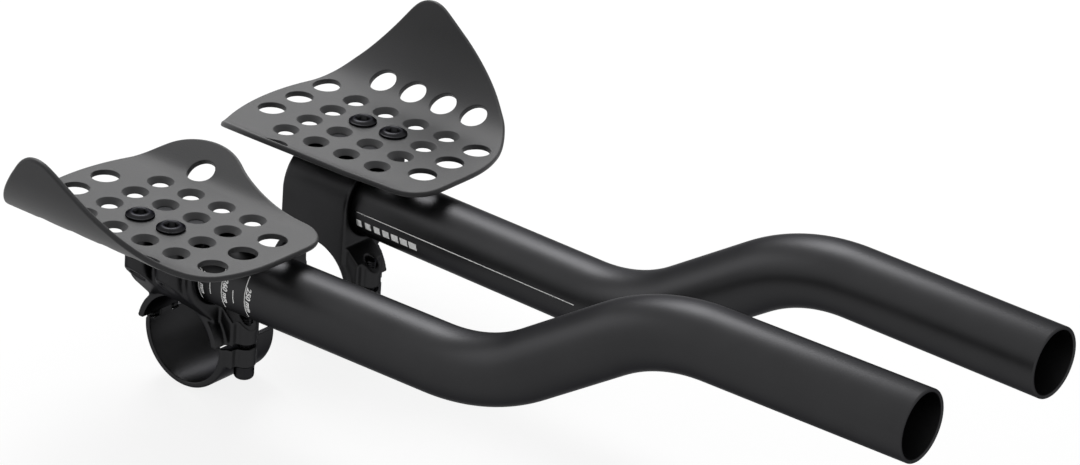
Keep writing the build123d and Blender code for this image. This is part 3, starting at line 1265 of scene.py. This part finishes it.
        # Output type 1 keeps only what lies inside the rim; the holes are left out below
        points, _, faces, *_ = delaunay_2d_cdt(flat, edges, [], 1, 1e-5)
        layout = [(p.x * MM, p.y * MM) for p in points]
        height = 0.0 if upper else -self.thickness
        verts = [shell.verts.new(self.fold(spot, height)) for spot in layout]
        for face in faces:
            middle = tuple(sum(layout[i][k] for i in face) / len(face) for k in (0, 1))
            if not any(hole.holds(middle, hole.profile[end][0]) for hole in holes):
                shell.faces.new([verts[i] for i in face])

    def build(self) -> Piece:
        """Mould the plate and let it stand for its CAD node.

        Returns:
            The plate.
        """
        outline, *openings = self.skin_outlines()
        outline = self.even(outline)
        holes = [self.hole(opening) for opening in openings]
        shell = bmesh.new()
        rim_wall = self.round_wall(self.rim_rounding)
        walls = [[(self.inset(outline, d), h) for d, h in rim_wall]]
        walls += [[(hole.ring(d), h) for d, h in hole.profile] for hole in holes]
        for wall in walls:
            skin_loops(shell, [[self.fold(spot, h) for spot in line] for line, h in wall], Ends.OPEN)
        for upper, (line, _) in ((True, walls[0][0]), (False, walls[0][-1])):
            self.skin(shell, line, holes, upper)
        bmesh.ops.remove_doubles(shell, verts=shell.verts, dist=WELD)
        loose = [v for v in shell.verts if not v.link_faces]
        bmesh.ops.delete(shell, geom=loose, context="VERTS")
        piece = add_piece(f"{self.side.word}_plate", shell, Body.CLAMPS, self.finish)
        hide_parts(self.node)
        return piece


@dataclass
class Armrest:
    """One side's armrest: its plate and two screws with low domed heads.

    Attributes:
        side: Side of the pair.
        head_radius: Radius of the screws' heads.
        head_height: Height of a head over the plate.
        rim_height: Height of its rim.
        shoulder: How far the dome's edge stands over the rim.
        land: Radius of the flat round the socket.
        lip: Radius of the rounding from the dome to the rim.
        crown: Power of the dome's curve.
        dome_steps: Steps across the dome.
        lip_steps: Steps round the lip.
        seat_edge: Chamfer at the head's seat.
        seat_radius: Radius of the cone under it.
        key: Width across the socket's flats.
        socket_depth: Depth of the socket.
        shank: Thread's outside diameter.
        pitch: Thread pitch.
    """

    side: Side
    head_radius: float = 4.95 * MM
    head_height: float = 1.71 * MM
    rim_height: float = 0.7 * MM
    shoulder: float = 0.15 * MM
    land: float = 3.1 * MM
    lip: float = 0.25 * MM
    crown: float = 1.7
    dome_steps: int = 6
    lip_steps: int = 5
    seat_edge: float = 0.1 * MM
    seat_radius: float = 4.5 * MM
    key: float = 4 * MM
    socket_depth: float = 2 * MM
    shank: float = 5 * MM
    pitch: float = 0.8 * MM

    def head(self) -> tuple[Flat, ...]:
        """Outline of a screw's head, from the socket's mouth over the dome to the thread.

        Returns:
            Radius and depth below the top of each line.
        """
        land, lip, low = self.land, self.lip, self.head_height
        wide = self.head_radius - lip - land
        fall = low - self.rim_height - self.shoulder
        shares = [i / self.dome_steps for i in range(self.dome_steps + 1)]
        lines = [(land + wide * share, fall * share**self.crown) for share in shares]
        for t in quarter(self.lip_steps)[1:]:
            lines.append((land + wide + lip * sin(t), fall + lip * (1 - cos(t))))
        lines += [
            (self.head_radius, low - self.seat_edge),
            (self.head_radius - self.seat_edge, low),
            (self.seat_radius, low),
            (self.shank / 2, low + self.seat_radius - self.shank / 2),
        ]
        return tuple(lines)

    def build(self) -> list[Piece]:
        """Mould the plate and turn its screws.

        Returns:
            The pieces.
        """
        screws = [
            SocketScrew(
                node=f"{self.side.word}_armrest_screw_{place}",
                key=self.key,
                socket_depth=self.socket_depth,
                head=self.head(),
                shank=self.shank,
                pitch=self.pitch,
            )
            for place in ("rear", "front")
        ]
        return [ArmrestPlate(self.side).build(), *[screw.build() for screw in screws]]


@dataclass
class Lamp:
    """A soft box that lights the object and stays out of sight.

    Attributes:
        name: What it is.
        place: Where it hangs.
        aim: What it points at.
        size: Its width and length.
        power: Its power in watts.
    """

    name: str
    place: Vector
    aim: Vector
    size: tuple[float, float]
    power: float

    def build(self) -> Piece:
        """Hang the lamp.

        Returns:
            The lamp's object.
        """
        light = bpy.data.lights.new(self.name, "AREA")
        light.shape = "RECTANGLE"
        light.size, light.size_y = self.size
        light.energy = self.power
        lamp = add_object(self.name, light)
        lamp.location = self.place
        lamp.rotation_mode = "QUATERNION"
        lamp.rotation_quaternion = (self.aim - self.place).to_track_quat("-Z", "Y")
        lamp.visible_camera = False
        return lamp


@dataclass
class Studio:
    """White studio: floor, lamps, dim surroundings and the camera.

    Attributes:
        floor_size: Side of the floor.
        veil: Share of the floor's white that no shadow dims.
        surround: Brightness of the surroundings.
        azimuth: Camera's turn about the vertical.
        elevation: Camera's height over the horizon.
        roll: Camera's turn about its own line of sight.
        distance: From the camera to its aim.
        aim: Point in the middle of the picture.
        lens: Focal length in millimetres on the sensor below.
        sensor: Sensor width in millimetres.
    """

    floor_size: float = 6.0
    veil: float = 0.85
    surround: float = 0.5
    azimuth: float = radians(36.78)
    elevation: float = radians(25.08)
    roll: float = radians(4.41)
    distance: float = 1400 * MM
    aim: tuple[float, float, float] = (120.2 * MM, -5.7 * MM, 69.9 * MM)
    lens: float = 145.387
    sensor: float = 36.0

    def shown(self, tree: bpy.types.NodeTree) -> Socket:
        """One where the eye looks, directly or in a mirror or through glass.

        Args:
            tree: Node tree of the floor or the world.

        Returns:
            Output socket of the factor.
        """
        path = add_node(tree, "ShaderNodeLightPath").outputs
        seen = path["Is Camera Ray"]
        for kind in ("Is Glossy Ray", "Is Transmission Ray"):
            seen = add_node(tree, "ShaderNodeMath", {0: seen, 1: path[kind]}, operation="MAXIMUM").outputs[0]
        return seen

    def build_floor(self) -> Piece:
        """Lay a pale floor that looks white and still takes a faint shadow.

        Returns:
            The floor.
        """
        shell = bmesh.new()
        bmesh.ops.create_grid(shell, x_segments=1, y_segments=1, size=self.floor_size / 2)
        mesh = bpy.data.meshes.new("studio_floor")
        shell.to_mesh(mesh)
        shell.free()
        made, matt = new_material("paper_sweep_matt_white")
        tree = made.node_tree
        matt.inputs["Base Color"].default_value = linear("#f4f4f4")
        matt.inputs["Roughness"].default_value = 0.9
        white = add_node(tree, "ShaderNodeEmission", {"Color": linear("#ffffff"), "Strength": 1.0})
        share = add_node(tree, "ShaderNodeMath", {0: self.shown(tree), 1: self.veil}, operation="MULTIPLY")
        sockets = {0: share.outputs[0], 1: matt.outputs[0], 2: white.outputs[0]}
        both = add_node(tree, "ShaderNodeMixShader", sockets)
        tree.links.new(both.outputs[0], tree.nodes["Material Output"].inputs["Surface"])
        mesh.materials.append(made)
        floor_piece = add_object("studio_floor", mesh)
        floor_piece.location = (0, 0, CAD_BOX[0].z)
        floor_piece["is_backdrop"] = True
        return floor_piece

    def build_surround(self) -> None:
        """Make the surroundings white to the eye and dim as a light."""
        world = bpy.data.worlds.new("studio_surround")
        world.use_nodes = True
        tree = world.node_tree
        dim = tree.nodes["Background"]
        dim.inputs["Color"].default_value = linear("#ffffff")
        dim.inputs["Strength"].default_value = self.surround
        white = add_node(tree, "ShaderNodeBackground", {"Color": linear("#ffffff"), "Strength": 1.0})
        sockets = {0: self.shown(tree), 1: dim.outputs[0], 2: white.outputs[0]}
        both = add_node(tree, "ShaderNodeMixShader", sockets)
        tree.links.new(both.outputs[0], tree.nodes["World Output"].inputs["Surface"])
        bpy.context.scene.world = world

    def build_camera(self) -> Piece:
        """Set the camera at the photograph's viewing angle.

        Returns:
            The camera.
        """
        level = cos(self.elevation)
        back = Vector((sin(self.azimuth) * level, -cos(self.azimuth) * level, sin(self.elevation)))
        lens = bpy.data.cameras.new("studio_camera")
        lens.lens = self.lens
        lens.sensor_width = self.sensor
        camera = add_object("studio_camera", lens)
        camera.location = Vector(self.aim) + back * self.distance
        camera.rotation_mode = "QUATERNION"
        upright = (-back).to_track_quat("-Z", "Y")
        camera.rotation_quaternion = upright @ Quaternion((0, 0, 1), self.roll)
        bpy.context.scene.camera = camera
        return camera

    def build(self) -> None:
        """Build the whole studio."""
        bpy.context.scene.view_settings.view_transform = "Standard"
        self.build_floor()
        self.build_surround()
        middle = (CAD_BOX[0] + CAD_BOX[1]) / 2
        lamps = (
            Lamp("overhead_box", middle + Vector((-0.7, 0.5, 1.0)), middle, (0.6, 0.6), 13.0),
            Lamp("left_box", middle + Vector((-1.3, -0.5, 0.35)), middle, (0.7, 0.9), 3.0),
            Lamp("rear_box", middle + Vector((-0.8, 1.1, 0.6)), middle, (0.7, 0.5), 3.0),
        )
        for lamp in lamps:
            lamp.build()
        self.build_camera()


def main() -> None:
    """Build the object and its studio, and report each piece."""
    logging.basicConfig(level=logging.INFO, format="%(name)s: %(message)s")
    pieces: list[Piece] = []
    tubes = {side: ExtensionTube(side) for side in Side}
    for side, tube in tubes.items():
        pieces.append(tube.build())
        pieces.extend(ClampUnit(side).dress())
        pieces.extend(Armrest(side).build())
    pieces.append(ReachScale(tubes[Side.RIGHT]).build())
    pieces.append(ToneStripe(tubes[Side.LEFT]).build())
    for piece in pieces:
        LOG.info("%s: %d points", piece.name, len(piece.data.vertices))
    Studio().build()
    boxes = {"cad": CAD_BOX, "visual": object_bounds()}
    {name: [list(corner) for corner in box] for name, box in boxes.items()}


if __name__ == "__main__":
    main()
